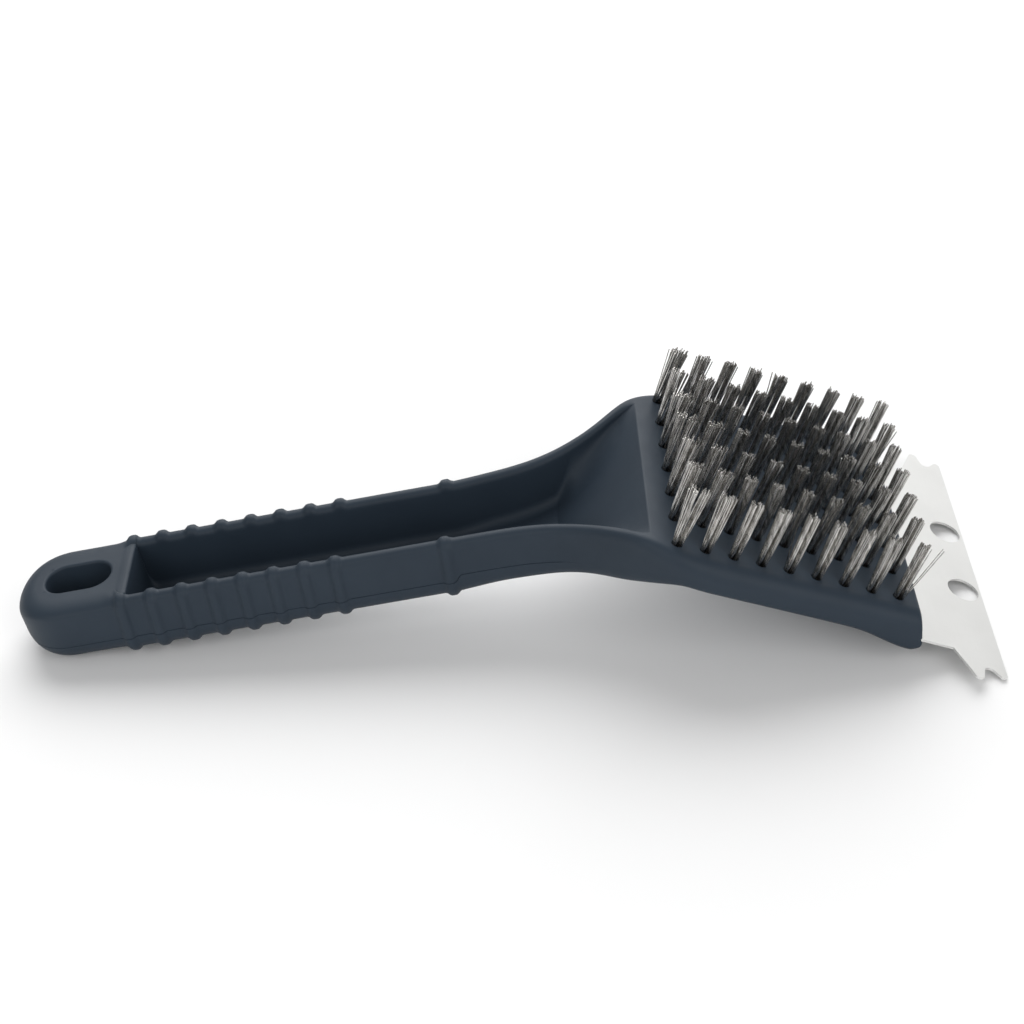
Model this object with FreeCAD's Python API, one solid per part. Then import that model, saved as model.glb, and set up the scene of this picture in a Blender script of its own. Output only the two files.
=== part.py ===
import FreeCAD, Part
import math
import os

# Grill cleaning brush: one plastic moulding (handle, neck and head), stapled wire tufts and a steel
# scraper blade. Millimetres. The brush lies on its back, bristles up: it rests on the rounded back
# of the handle's tip and on the scraper's outer edge.
#
# Everything is drawn in the head's frame: X runs along the head towards the scraper, Y across it,
# Z out of the bristle face, with the origin in the middle of the bristle face. The last step turns
# the whole brush into its lying position, with Z = 0 on the table and the origin under its middle.

# ---- driving dimensions -------------------------------------------------------------------------
HANDLE_ANGLE = math.radians(29.0)   # the handle falls away from the head's plane by this much
HANDLE_X = -86.5                    # a point of the handle's own axis system, in the head's frame
HANDLE_Z = -33.5
HANDLE_HALF = 15.4                  # half the handle's width
HANDLE_TOP = 1.6                    # rim height and back depth in the handle's own axis system
HANDLE_BACK = -18.3
TIP_S = -127.9                      # s runs along the handle towards the head, 0 at the single bead
BACK_ROUND = 6.0
TIP_START_S = -94.0                 # the solid tip is rounder than the open handle
TIP_TOP_ROUND = 3.8
TIP_BACK_ROUND = 7.5

WALL = 4.1                          # the rim is a full round of this thickness
RIM_ROUND = 2.0
FLOOR = 2.7
FLOOR_ROUND = 3.0
CHANNEL_END_S = -92.7
RAMP_FOOT_X = -53.4                 # the ramp below the ridge runs down to this line
RAMP_FOOT_Z = -28.5
RAMP_ROUND = 4.0

SLOT_S = -108.6
SLOT_HALF_LENGTH = 9.8
SLOT_HALF_WIDTH = 5.85

BEAD_COUNT = 8
BEAD_FIRST_S = -94.0
BEAD_PITCH = 8.93
BEAD_HEIGHT = 1.0
BEAD_WIDTH = 3.9
BEAD_ROUND = 0.95
BEAD_INSET = 0.3
BEAD_LEAN = math.radians(4.0)       # the beads run back towards the tip on their way down

HEAD_START_X = -20.0
HEAD_END_X = 38.0
HEAD_HALF = 41.5
HEAD_THICK = 9.7
HEAD_TOP_ROUND = 3.0
HEAD_BACK_ROUND = 3.0
HEAD_CORNER_ROUND = 3.5
HEAD_LIP_OUT = 5.4                  # the thickened end leans out by this much on its way down
HEAD_LIP_DROP = 3.0                 # and hangs this much below the rest of the head
HEAD_LIP_FLAT_X = 36.0              # the lip's back runs nearly level from here to the end
HEAD_LIP_FLAT_DROP = 2.6
HEAD_SWELL_X = 24.0                 # the head starts to thicken here
HEAD_SWELL_DROP = 0.3
RIDGE_X = -38.5                     # the ramp's upper end, in the plane of the bristle face

TUFT_COLUMNS = 9
TUFT_ROWS = 7
TUFT_PITCH_X = 8.0
TUFT_PITCH_Y = 11.38
TUFT_HEIGHT = 18.3
TUFT_HOLE_DIAMETER = 3.2
TUFT_HOLE_DEPTH = 6.4
TUFT_FOOT_RADIUS = 1.45
TUFT_FOLD = 0.8
LEG_OFFSET = 0.85
LEG_LEAN = math.radians(2.5)
LEG_FOOT_RADIUS = 0.6
LEG_TIP_RADIUS = 1.2
ANCHOR_THICK = 0.4
ANCHOR_WIDTH = 3.0
ANCHOR_HEIGHT = 1.6

BLADE_TOP = -7.0
BLADE_THICK = 0.7
BLADE_OUTER_X = 64.6
BLADE_TANG_X = 28.0
BLADE_TANG_INSET = 4.0              # the tang is narrower than the blade by this much on each side
BLADE_SHOULDER_X = 37.0
BLADE_FLARE_X = 50.2                # the fish tail starts here
BLADE_HALF = 41.2
BLADE_HOLE_X = 59.1
BLADE_HOLE_Y = 13.55
BLADE_HOLE_DIAMETER = 9.4
TANG_HOLE_COUNT = 5
TANG_HOLE_PITCH = 14.0
TANG_HOLE_DIAMETER = 4.0

# One side of the fish tail, as steps along X from BLADE_FLARE_X and out from BLADE_HALF: a slanted
# side, a rounded horn, a shallow notch and the rounded corner of the outer edge.
TAIL_START = (0.0, 0.4)
TAIL_HORN = [(4.4, 9.8), (6.2, 10.8), (7.2, 9.2)]
TAIL_NOTCH = [(8.0, 6.6), (9.4, 5.9), (10.9, 6.5)]
TAIL_CORNER = [(12.7, 8.6), (13.8, 8.6), (14.4, 7.4)]

OVERCUT = 5.0                       # cutting shapes run this much past the faces they open

V = FreeCAD.Vector


# ---- drawing helpers ----------------------------------------------------------------------------
def handle_point(s, y, n):
    """A point given along the handle (s), across it (y) and out of it (n), in the head's frame."""
    x = HANDLE_X + s * math.cos(HANDLE_ANGLE) - n * math.sin(HANDLE_ANGLE)
    z = HANDLE_Z + s * math.sin(HANDLE_ANGLE) + n * math.cos(HANDLE_ANGLE)
    return V(x, y, z)


HANDLE_OUT = V(-math.sin(HANDLE_ANGLE), 0, math.cos(HANDLE_ANGLE))
HANDLE_ALONG = V(math.cos(HANDLE_ANGLE), 0, math.sin(HANDLE_ANGLE))


def line(a, b):
    return Part.LineSegment(a, b).toShape()


def arc(a, middle, b):
    return Part.Arc(a, middle, b).toShape()


def closed(edges):
    return Part.Wire(edges)


class Station:
    """A cross plane of the brush, from a point of its top line to a point of its back line."""

    def __init__(self, top, back, half, wall=WALL, rim=RIM_ROUND, back_round=BACK_ROUND):
        self.origin = V(top[0], 0, top[1])
        self.down = V(back[0] - top[0], 0, back[1] - top[1])
        self.depth = self.down.Length
        self.down.normalize()
        self.half = half
        self.wall = wall
        self.rim = rim
        self.back_round = back_round

    def at(self, y, depth):
        return self.origin + self.down * depth + V(0, y, 0)

    def corner(self, centre_y, centre_depth, radius, start, end):
        """An arc about a centre; angles in degrees, 0 towards +Y and 90 towards the back."""
        points = []
        for angle in (start, (start + end) / 2, end):
            turn = math.radians(angle)
            points.append(self.at(centre_y + radius * math.cos(turn), centre_depth + radius * math.sin(turn)))
        return arc(*points)

    def outer(self, grow=0.0):
        """The rounded outline of the outside."""
        h = self.half + grow
        t = -grow
        b = self.depth + grow
        r = self.rim + grow
        q = self.back_round + grow
        return closed([
            line(self.at(-h + r, t), self.at(h - r, t)),
            self.corner(h - r, t + r, r, -90, 0),
            line(self.at(h, t + r), self.at(h, b - q)),
            self.corner(h - q, b - q, q, 0, 90),
            line(self.at(h - q, b), self.at(-h + q, b)),
            self.corner(-h + q, b - q, q, 90, 180),
            line(self.at(-h, b - q), self.at(-h, t + r)),
            self.corner(-h + r, t + r, r, 180, 270),
        ])

    def hollow(self, lift=0.0):
        """The outline of the space inside, which flares over the rim in a quarter round."""
        w = self.half - self.wall
        r = self.rim
        f = self.depth - FLOOR
        q = FLOOR_ROUND
        above = -self.rim - OVERCUT
        return closed([
            line(self.at(-w - r, above), self.at(w + r, above)),
            line(self.at(w + r, above), self.at(w + r, -lift)),
            self.corner(w + r, r - lift, r, 270, 180),
            line(self.at(w, r - lift), self.at(w, f - q)),
            self.corner(w - q, f - q, q, 0, 90),
            line(self.at(w - q, f), self.at(-w + q, f)),
            self.corner(-w + q, f - q, q, 90, 180),
            line(self.at(-w, f - q), self.at(-w, r - lift)),
            self.corner(-w - r, r - lift, r, 0, -90),
            line(self.at(-w - r, -lift), self.at(-w - r, above)),
        ])


def handle_station(s):
    top = handle_point(s, 0, HANDLE_TOP)
    back = handle_point(s, 0, HANDLE_BACK)
    return Station((top.x, top.z), (back.x, back.z), HANDLE_HALF)


# The neck: top line, back line, half width and wall at each cross plane, handle to head.
NECK_STATIONS = [
    handle_station(0.0),
    Station((-77.4, -26.2), (-68.7, -43.1), 15.9),
    Station((-68.1, -20.5), (-59.4, -37.0), 17.0),
    Station((-62.0, -16.6), (-53.8, -32.9), 18.7),
    Station((-55.9, -12.4), (-48.4, -28.7), 21.7),
    Station((-50.0, -8.0), (-43.3, -24.7), 26.0, wall=4.3),
    Station((-45.2, -4.2), (-39.1, -20.8), 30.6, wall=4.6, back_round=5.5),
    Station((-40.7, -1.4), (-34.6, -16.6), 34.9, wall=5.0, rim=2.5, back_round=5.0),
    Station((-36.2, -0.3), (-30.8, -13.1), 38.0, wall=5.4, rim=3.2, back_round=4.2),
    Station((-31.5, 0.0), (-27.2, -10.6), 40.1, wall=5.6, rim=3.4, back_round=3.5),
    Station((-25.5, 0.0), (-23.6, -9.8), 41.1, wall=5.6, rim=3.1, back_round=3.0),
    Station((HEAD_START_X, 0.0), (HEAD_START_X, -HEAD_THICK), HEAD_HALF, rim=HEAD_TOP_ROUND,
            back_round=HEAD_BACK_ROUND),
]
HOLLOW_STATIONS = 10                # how many of them the hollow passes through
SEAM_TOLERANCE = 0.002              # faces that meet at a cross plane are joined within this gap


# ---- the moulding -------------------------------------------------------------------------------
def edges_where(shape, test):
    return [edge for edge in shape.Edges if test(edge)]


def on_handle(edge, s=None, n=None):
    """Whether an edge lies at a given place along the handle or a given height out of it."""
    origin = handle_point(0, 0, 0)
    for vertex in edge.Vertexes:
        if s is not None and abs((vertex.Point - origin).dot(HANDLE_ALONG) - s) > 0.01:
            return False
        if n is not None and abs((vertex.Point - origin).dot(HANDLE_OUT) - n) > 0.01:
            return False
    return True


def tip_block():
    """The solid, bull-nosed tip."""
    centre_s = TIP_S + HANDLE_HALF
    corners = [
        handle_point(TIP_START_S, -HANDLE_HALF, HANDLE_BACK),
        handle_point(centre_s, -HANDLE_HALF, HANDLE_BACK),
        handle_point(TIP_S, 0, HANDLE_BACK),
        handle_point(centre_s, HANDLE_HALF, HANDLE_BACK),
        handle_point(TIP_START_S, HANDLE_HALF, HANDLE_BACK),
    ]
    outline = closed([
        line(corners[0], corners[1]),
        arc(corners[1], corners[2], corners[3]),
        line(corners[3], corners[4]),
        line(corners[4], corners[0]),
    ])
    block = Part.Face(outline).extrude(HANDLE_OUT * (HANDLE_TOP - HANDLE_BACK))
    for n, radius in ((HANDLE_BACK, TIP_BACK_ROUND), (HANDLE_TOP, TIP_TOP_ROUND)):
        rounded = edges_where(block, lambda e: on_handle(e, n=n) and not on_handle(e, s=TIP_START_S))
        block = block.makeFillet(radius, rounded)
    return block


def handle_block():
    """The straight handle between the tip and the neck, solid."""
    return Part.Face(handle_station(TIP_START_S).outer()).extrude(HANDLE_ALONG * -TIP_START_S)


def head_block():
    """The head from the end of the neck to its thickened end, solid."""
    top_start = V(HEAD_START_X, 0, 0)
    top_end = V(HEAD_END_X, 0, 0)
    lip_end = V(HEAD_END_X + HEAD_LIP_OUT, 0, -HEAD_THICK - HEAD_LIP_DROP)
    lip_start = V(HEAD_LIP_FLAT_X, 0, -HEAD_THICK - HEAD_LIP_FLAT_DROP)
    flat_end = V(HEAD_SWELL_X, 0, -HEAD_THICK - HEAD_SWELL_DROP)
    flat_start = V(HEAD_START_X, 0, -HEAD_THICK)
    swell = Part.BSplineCurve()
    swell.interpolate([lip_start, flat_end], InitialTangent=lip_start - lip_end,
                      FinalTangent=flat_start - flat_end)
    profile = closed([
        line(top_start, top_end),
        line(top_end, lip_end),
        line(lip_end, lip_start),
        swell.toShape(),
        line(flat_end, flat_start),
        line(flat_start, top_start),
    ])
    side = Part.Face(profile)
    side.translate(V(0, -HEAD_HALF, 0))
    block = side.extrude(V(0, 2 * HEAD_HALF, 0))

    def end_corner(edge):
        box = edge.BoundBox
        return box.XMin > HEAD_END_X - 0.01 and box.YLength < 0.01 and box.ZLength > 5.0

    block = block.makeFillet(HEAD_CORNER_ROUND, edges_where(block, end_corner))

    def on_top(edge):
        box = edge.BoundBox
        return box.ZMin > -0.01 and box.XMax > HEAD_START_X + 1.0

    block = block.makeFillet(HEAD_TOP_ROUND, edges_where(block, on_top))

    def on_back(edge):
        box = edge.BoundBox
        cross_seam = box.YLength > HEAD_HALF and box.XMax < HEAD_END_X + 1.0
        return box.ZMax < -HEAD_THICK + 0.1 and box.XMax > HEAD_START_X + 1.0 and not cross_seam

    return block.makeFillet(HEAD_BACK_ROUND, edges_where(block, on_back))


def hollow():
    """The channel of the handle and the bowl of the neck, up to the ramp below the ridge."""
    channel = Part.Face(handle_station(0.0).hollow()).extrude(HANDLE_ALONG * CHANNEL_END_S)
    neck = Part.makeLoft([station.hollow() for station in NECK_STATIONS[:HOLLOW_STATIONS]], True, False)
    foot = V(RAMP_FOOT_X, 0, RAMP_FOOT_Z)
    ridge = V(RIDGE_X, 0, 0)
    slope = (ridge - foot).normalize()
    top = ridge + slope * 20
    bottom = foot - slope * 10
    corners = [top, V(0, 0, top.z), V(0, 0, bottom.z), bottom]
    side = Part.Face(closed([line(corners[i], corners[(i + 1) % 4]) for i in range(4)]))
    side.translate(V(0, -HEAD_HALF, 0))
    neck = neck.cut(side.extrude(V(0, 2 * HEAD_HALF, 0)))
    across = V(0, 1, 0).cross(slope)

    def on_ramp_side(edge):
        on_ramp = all(abs((v.Point - ridge).dot(across)) < 0.01 for v in edge.Vertexes)
        return on_ramp and edge.BoundBox.ZLength > 12.0 and edge.BoundBox.YLength > 2.0

    neck = neck.makeFillet(RAMP_ROUND, edges_where(neck, on_ramp_side))
    return channel.fuse(neck)


def bead(s):
    """A half-round bead round the outside of the handle, from rim to rim."""
    station = handle_station(s - BEAD_WIDTH / 2)
    collar = Part.Face(station.outer(grow=BEAD_HEIGHT)).extrude(HANDLE_ALONG * BEAD_WIDTH)
    rounded = []
    for edge in collar.Edges:
        ends = [(v.Point - station.origin).dot(HANDLE_ALONG) for v in edge.Vertexes]
        if max(ends) - min(ends) < 0.01:
            rounded.append(edge)
    collar = collar.makeFillet(BEAD_ROUND, rounded)
    gap = handle_station(s - BEAD_WIDTH)
    gap.wall -= BEAD_INSET
    collar = collar.cut(Part.Face(gap.hollow(lift=BEAD_HEIGHT)).extrude(HANDLE_ALONG * BEAD_WIDTH * 2))
    return collar.rotated(handle_point(s, 0, HANDLE_TOP), V(0, 1, 0), math.degrees(BEAD_LEAN))


def hang_slot():
    """The round-ended slot through the tip."""
    straight = SLOT_HALF_LENGTH - SLOT_HALF_WIDTH
    level = HANDLE_BACK - OVERCUT
    points = []
    for s, y in ((-straight, -1), (straight, -1), (straight + SLOT_HALF_WIDTH, 0), (straight, 1),
                 (-straight, 1), (-straight - SLOT_HALF_WIDTH, 0)):
        points.append(handle_point(SLOT_S + s, y * SLOT_HALF_WIDTH, level))
    outline = closed([
        line(points[0], points[1]),
        arc(points[1], points[2], points[3]),
        line(points[3], points[4]),
        arc(points[4], points[5], points[0]),
    ])
    return Part.Face(outline).extrude(HANDLE_OUT * (HANDLE_TOP - HANDLE_BACK + 2 * OVERCUT))


def tuft_places():
    """The middle of each tuft hole, column by column."""
    columns = []
    for column in range(TUFT_COLUMNS):
        x = (column - (TUFT_COLUMNS - 1) / 2) * TUFT_PITCH_X
        ys = [(row - (TUFT_ROWS - 1) / 2) * TUFT_PITCH_Y for row in range(TUFT_ROWS)]
        columns.append([(x, y) for y in ys])
    return columns


def tuft_holes():
    holes = []
    length = TUFT_HOLE_DEPTH + OVERCUT
    for column in tuft_places():
        for x, y in column:
            foot = V(x, y, -TUFT_HOLE_DEPTH)
            holes.append(Part.makeCylinder(TUFT_HOLE_DIAMETER / 2, length, foot))
    return holes


def handle_body(blade):
    neck = Part.makeLoft([station.outer() for station in NECK_STATIONS], True, False)
    body = handle_block().fuse([tip_block(), neck, head_block()], SEAM_TOLERANCE)
    body = body.cut(hollow())
    beads = [bead(BEAD_FIRST_S + k * BEAD_PITCH) for k in range(BEAD_COUNT)] + [bead(0.0)]
    body = body.fuse(beads)
    body = body.cut([hang_slot(), blade] + tuft_holes())
    return body.removeSplitter()


# ---- the scraper blade --------------------------------------------------------------------------
def blade_side(sign):
    """One side of the blade's outline, from the tang to the outer edge, as edges."""
    def at(x, y):
        return V(x, sign * y, BLADE_TOP - BLADE_THICK)

    def tail(step):
        return at(BLADE_FLARE_X + step[0], BLADE_HALF + step[1])

    tang_start = at(BLADE_TANG_X, BLADE_HALF - BLADE_TANG_INSET)
    tang_end = at(BLADE_SHOULDER_X, BLADE_HALF - BLADE_TANG_INSET)
    shoulder = at(BLADE_SHOULDER_X, BLADE_HALF)
    return [
        line(tang_start, tang_end),
        line(tang_end, shoulder),
        line(shoulder, tail(TAIL_START)),
        line(tail(TAIL_START), tail(TAIL_HORN[0])),
        arc(*[tail(step) for step in TAIL_HORN]),
        line(tail(TAIL_HORN[2]), tail(TAIL_NOTCH[0])),
        arc(*[tail(step) for step in TAIL_NOTCH]),
        line(tail(TAIL_NOTCH[2]), tail(TAIL_CORNER[0])),
        arc(*[tail(step) for step in TAIL_CORNER]),
    ]


def scraper_blade():
    left = blade_side(-1)
    right = blade_side(1)
    tang_end = line(left[0].Vertexes[0].Point, right[0].Vertexes[0].Point)
    outer_edge = line(left[-1].Vertexes[-1].Point, right[-1].Vertexes[-1].Point)
    wire = Part.Wire(Part.__sortEdges__(left + right + [tang_end, outer_edge]))
    blade = Part.Face(wire).extrude(V(0, 0, BLADE_THICK))
    base = BLADE_TOP - BLADE_THICK - OVERCUT
    length = BLADE_THICK + 2 * OVERCUT
    holes = []
    for y in (-BLADE_HOLE_Y, BLADE_HOLE_Y):
        holes.append(Part.makeCylinder(BLADE_HOLE_DIAMETER / 2, length, V(BLADE_HOLE_X, y, base)))
    for k in range(TANG_HOLE_COUNT):
        y = (k - (TANG_HOLE_COUNT - 1) / 2) * TANG_HOLE_PITCH
        x = (BLADE_TANG_X + HEAD_END_X) / 2
        holes.append(Part.makeCylinder(TANG_HOLE_DIAMETER / 2, length, V(x, y, base)))
    return blade.cut(holes)


# ---- tufts and their anchors --------------------------------------------------------------------
def tuft(x, y):
    """A bundle of wires folded in two: a fold at the foot of the hole and two spreading legs."""
    fold = Part.makeCylinder(TUFT_FOOT_RADIUS, TUFT_FOLD, V(x, y, -TUFT_HOLE_DEPTH))
    legs = []
    for side in (-1, 1):
        start = V(x + side * LEG_OFFSET, y, -TUFT_HOLE_DEPTH)
        direction = V(side * math.sin(LEG_LEAN), 0, math.cos(LEG_LEAN))
        length = TUFT_HOLE_DEPTH + TUFT_HEIGHT
        legs.append(Part.makeCone(LEG_FOOT_RADIUS, LEG_TIP_RADIUS, length, start, direction))
    return fold.fuse(legs)


def anchor(x, y):
    """The flat staple that lies across the fold and holds it in the hole."""
    corner = V(x - ANCHOR_THICK / 2, y - ANCHOR_WIDTH / 2, -TUFT_HOLE_DEPTH + TUFT_FOLD)
    return Part.makeBox(ANCHOR_THICK, ANCHOR_WIDTH, ANCHOR_HEIGHT, corner)


# ---- the lying position -------------------------------------------------------------------------
def laid_down(shapes):
    """All shapes turned so that the tip's back and the scraper's outer edge both touch Z = 0."""
    tip = handle_point(TIP_S + TIP_BACK_ROUND, 0, HANDLE_BACK + TIP_BACK_ROUND)
    edge = V(BLADE_OUTER_X, 0, BLADE_TOP - BLADE_THICK)
    across = tip - edge
    lean = math.atan2(across.z, across.x) + math.pi + math.asin(TIP_BACK_ROUND / across.Length)
    turned = {}
    box = FreeCAD.BoundBox()
    for name, shape in shapes.items():
        turned[name] = shape.rotated(V(0, 0, 0), V(0, 1, 0), math.degrees(lean))
        box.add(turned[name].optimalBoundingBox(False))
    to_origin = V(-(box.XMin + box.XMax) / 2, -(box.YMin + box.YMax) / 2, -box.ZMin)
    print("lean %.2f degrees, moved by %s" % (math.degrees(lean), to_origin))
    print("size %.1f x %.1f x %.1f" % (box.XLength, box.YLength, box.ZLength))
    return {name: shape.translated(to_origin) for name, shape in turned.items()}


def main():
    os.makedirs("parts", exist_ok=True)
    blade = scraper_blade()
    shapes = {"handle_body": handle_body(blade), "scraper_blade": blade}
    for number, column in enumerate(tuft_places(), start=1):
        shapes["tuft_column_%d" % number] = Part.makeCompound([tuft(x, y) for x, y in column])
        shapes["tuft_anchors_%d" % number] = Part.makeCompound([anchor(x, y) for x, y in column])
    for name, shape in laid_down(shapes).items():
        solids = len(shape.Solids)
        print(name, solids, "solids, valid:", shape.isValid(), "volume %.0f" % shape.Volume)
        shape.exportStep("parts/%s.step" % name)


main()
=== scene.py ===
import math

import bmesh
import bpy
import numpy as np
from mathutils import Euler, Matrix, Vector


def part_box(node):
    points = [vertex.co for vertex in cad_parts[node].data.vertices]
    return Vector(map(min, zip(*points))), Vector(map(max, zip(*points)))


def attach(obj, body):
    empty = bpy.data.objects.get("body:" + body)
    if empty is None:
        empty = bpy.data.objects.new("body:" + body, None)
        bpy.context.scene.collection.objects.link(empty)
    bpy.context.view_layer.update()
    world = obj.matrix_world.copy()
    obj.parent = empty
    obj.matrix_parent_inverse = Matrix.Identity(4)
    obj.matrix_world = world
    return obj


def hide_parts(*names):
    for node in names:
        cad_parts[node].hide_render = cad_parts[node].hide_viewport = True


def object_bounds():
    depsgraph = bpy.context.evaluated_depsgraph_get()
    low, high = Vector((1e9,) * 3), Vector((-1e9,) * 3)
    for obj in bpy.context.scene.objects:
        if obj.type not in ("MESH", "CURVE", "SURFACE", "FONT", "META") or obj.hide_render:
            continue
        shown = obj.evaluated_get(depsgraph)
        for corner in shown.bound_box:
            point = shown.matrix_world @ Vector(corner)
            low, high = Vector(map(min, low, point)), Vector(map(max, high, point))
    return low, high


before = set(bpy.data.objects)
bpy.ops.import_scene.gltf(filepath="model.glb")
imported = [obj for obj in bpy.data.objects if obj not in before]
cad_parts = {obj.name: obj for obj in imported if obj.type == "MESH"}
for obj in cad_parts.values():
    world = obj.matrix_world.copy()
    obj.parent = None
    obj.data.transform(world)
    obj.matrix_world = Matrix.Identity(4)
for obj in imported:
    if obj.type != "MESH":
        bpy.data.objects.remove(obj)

# Grill cleaning brush, lying on its back with the bristles up. The shapes are drawn in millimetres in
# the head's frame (X along the head towards the scraper, Y across it, Z out of the bristle face, origin
# in the middle of that face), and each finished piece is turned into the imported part's frame, in metres.

cad_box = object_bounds()
RANDOM_SEED = 7
rng = np.random.default_rng(RANDOM_SEED)
QUARTER = math.pi / 2

# ---- the brush's driving dimensions, as in the CAD model, in mm ------------------------------------
# The handle: S runs along it towards the neck and ends at 0, where the neck starts. N runs out of it.
HANDLE_ANGLE = math.radians(29.0)
HANDLE_X, HANDLE_Z = -86.5, -33.5       # the place of S = 0, N = 0
HANDLE_HALF = 15.4
HANDLE_TOP, HANDLE_BACK = 1.6, -18.3
WALL, RIM_ROUND, BACK_ROUND = 4.1, 2.0, 6.0

# The tip: its edges are rounder than the handle's, and rounder still at the very end.
TIP_S = -127.9
TIP_CENTRE_S = TIP_S + HANDLE_HALF
TIP_TOP_ROUND, TIP_BACK_ROUND = 6.2, 7.5
TIP_TOP_DEEP = 2.6                      # along the sides, the top edge is rounded wider than deep
TIP_END_TOP_ROUND, TIP_END_BACK_ROUND = 6.5, 9.5
TIP_END_SHARPNESS = 4                   # how closely the end's rounds keep to the very end
TIP_BLEND_S, TIP_BLEND_LENGTH = -100.0, 6.0     # where the tip's rounds turn into the handle's
TIP_LAST_S = -93.5                      # the solid sections end before this, where the channel starts

# The channel along the handle and neck, its ramp up to the ridge, and the funnel beside the ramp.
FLOOR, FLOOR_ROUND = 2.7, 3.0
CHANNEL_END_S, CHANNEL_LIP, CHANNEL_END_SLANT = -92.7, 0.7, 0.02
RAMP_FOOT, RIDGE = (-53.4, -28.5), (-38.5, 0.0)
FUNNEL_WIDE, FUNNEL_DEEP = 17.0, 13.0
FUNNEL_RISE = 0.35                      # the share of the ramp's rise in which the funnel opens
LEAST_HOLLOW = 0.01                     # a section with a shallower channel than this is solid

# The hang slot, and how far the cutters of the slot and the tuft holes reach out of the surface.
SLOT_S, SLOT_HALF_LENGTH, SLOT_HALF_WIDTH, SLOT_LIP = -108.6, 9.8, 5.85, 0.8
SLOT_OVERCUT, TUFT_HOLE_OVERCUT = 2.0, 1.0

# The grip beads: evenly spaced ones, and one more where the handle ends.
BEAD_FIRST_S, BEAD_PITCH, BEAD_COUNT, BEAD_LAST_S = -94.0, 8.93, 8, 0.0
BEAD_HEIGHT, BEAD_REACH, BEAD_SHARPNESS = 1.05, 1.6, 4
BEAD_LEAN = math.tan(math.radians(4.0))
BEAD_RIM_LENGTH = 3.0                   # from TIP_BLEND_S on, the beads grow over the rims in this
BEAD_ON_TOP = 0.12                      # the share of a bead that crosses the top of a solid section

# The parting line round the outside: its depth below the top and its fine groove.
PARTING_DEPTH, PARTING_DEPTH_NECK, PARTING_GROOVE = 13.1, 11.3, 0.28
PARTING_STEP_S, PARTING_STEP_LENGTH = 0.5, 2.0      # where it steps up to the neck's depth
PARTING_FADE_S, PARTING_FADE_LENGTH = 30.0, 8.0     # where it fades out
PARTING_BACK_GAP = 1.0
PARTING_REACH = 0.3                     # half the strip that is divided finely for the groove
SAME_PLACE = 0.01

# The head and the blade.
HEAD_START_X, HEAD_END_X, HEAD_HALF, HEAD_THICK = -20.0, 38.0, 41.5, 9.7
HEAD_TOP_ROUND, HEAD_BACK_ROUND, HEAD_WALL = 4.4, 3.0, 5.6
HEAD_END_TOP_ROUND, HEAD_END_BACK_ROUND, HEAD_END_SIDE_ROUND = 1.6, 2.7, 1.0
HEAD_LEAST_ROUND = 0.3
HEAD_LIP_OUT, HEAD_LIP_DROP = 5.4, 3.0  # how far the end's lower edge stands out, and below the back
HEAD_SLANT_X = 6.0                      # from here the ribs turn towards the slant of the end face
BLADE_TOP, BLADE_THICK, BLADE_OUTER_X = -7.0, 0.7, 64.6
PAST_THE_MARKS_S = 200.0                # a station with no bead and no parting line

# The line of the head's back, as x, z: level, then down to the thickened end.
HEAD_BACK_LINE = [
    (-20.0, -9.7),
    (-8.0, -9.7),
    (8.0, -9.7),
    (18.0, -9.75),
    (24.0, -10.0),
    (30.0, -11.1),
    (36.0, -12.3),
    (HEAD_END_X + HEAD_LIP_OUT, -HEAD_THICK - HEAD_LIP_DROP),
]

# The neck's cross planes: top line x, z; back line x, z; half width, wall, rim round, back round.
NECK = [
    (-77.4, -26.2, -68.7, -43.1, 15.9, 4.1, 2.0, 6.0),
    (-68.1, -20.5, -59.4, -37.0, 17.0, 4.1, 2.0, 6.0),
    (-62.0, -16.6, -53.8, -32.9, 18.7, 4.1, 2.0, 6.0),
    (-55.9, -12.4, -48.4, -28.7, 21.7, 4.1, 2.0, 6.0),
    (-50.0, -8.0, -43.3, -24.7, 26.0, 4.3, 2.0, 6.0),
    (-45.2, -4.2, -39.1, -20.8, 30.6, 4.6, 2.0, 5.5),
    (-40.7, -1.4, -34.6, -16.6, 34.9, 5.0, 2.8, 5.0),
    (-36.2, -0.3, -30.8, -13.1, 38.0, 5.4, 3.8, 4.2),
    (-31.5, 0.0, -27.2, -10.6, 40.1, 5.6, 4.2, 3.5),
    (-25.5, 0.0, -23.6, -9.8, 41.1, 5.6, 4.4, 3.0),
    (-20.0, 0.0, -20.0, -9.7, 41.5, 5.6, 4.4, 3.0),
]
# Planes on the handle and on the head, which steer the neck's lines at its two ends.
BEFORE_NECK_S, AFTER_NECK_X = (-30.0, -20.0, -10.0, 0.0), (-12.0, -4.0)

# The tufts and their wires.
TUFT_COLUMNS, TUFT_ROWS, TUFT_PITCH_X, TUFT_PITCH_Y = 9, 7, 8.0, 11.38
TUFT_HEIGHT, TUFT_HOLE_RADIUS, TUFT_HOLE_DEPTH = 18.2, 1.6, 6.4
TUFT_TILT = 0.012                       # how far a whole tuft leans off, as a slope
WIRES_PER_LEG, WIRE_SIDES = 16, 5
WIRE_RADIUS, WIRE_THINNEST, WIRE_THICKEST = 0.16, 0.92, 1.06
WIRE_STATIONS = (0.0, 0.35, 0.7, 1.0)
WIRE_BOW = 0.05
WIRE_HIDDEN_DEPTH, WIRE_HIDDEN_SHARE = 5.0, 0.8     # a wire's lower end, drawn in towards the fold
LEG_OFFSET, LEG_HALF_X, LEG_HALF_Y = 0.86, 0.56, 1.05
LEG_SPREAD, LEG_SPREAD_X, LEG_SPREAD_Y = 0.10, 0.32, 0.45
SPREAD_JITTER_X, SPREAD_JITTER_Y = 0.09, 0.10
HEIGHT_JITTER, HEIGHT_CROWN = 0.25, 0.3
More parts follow.
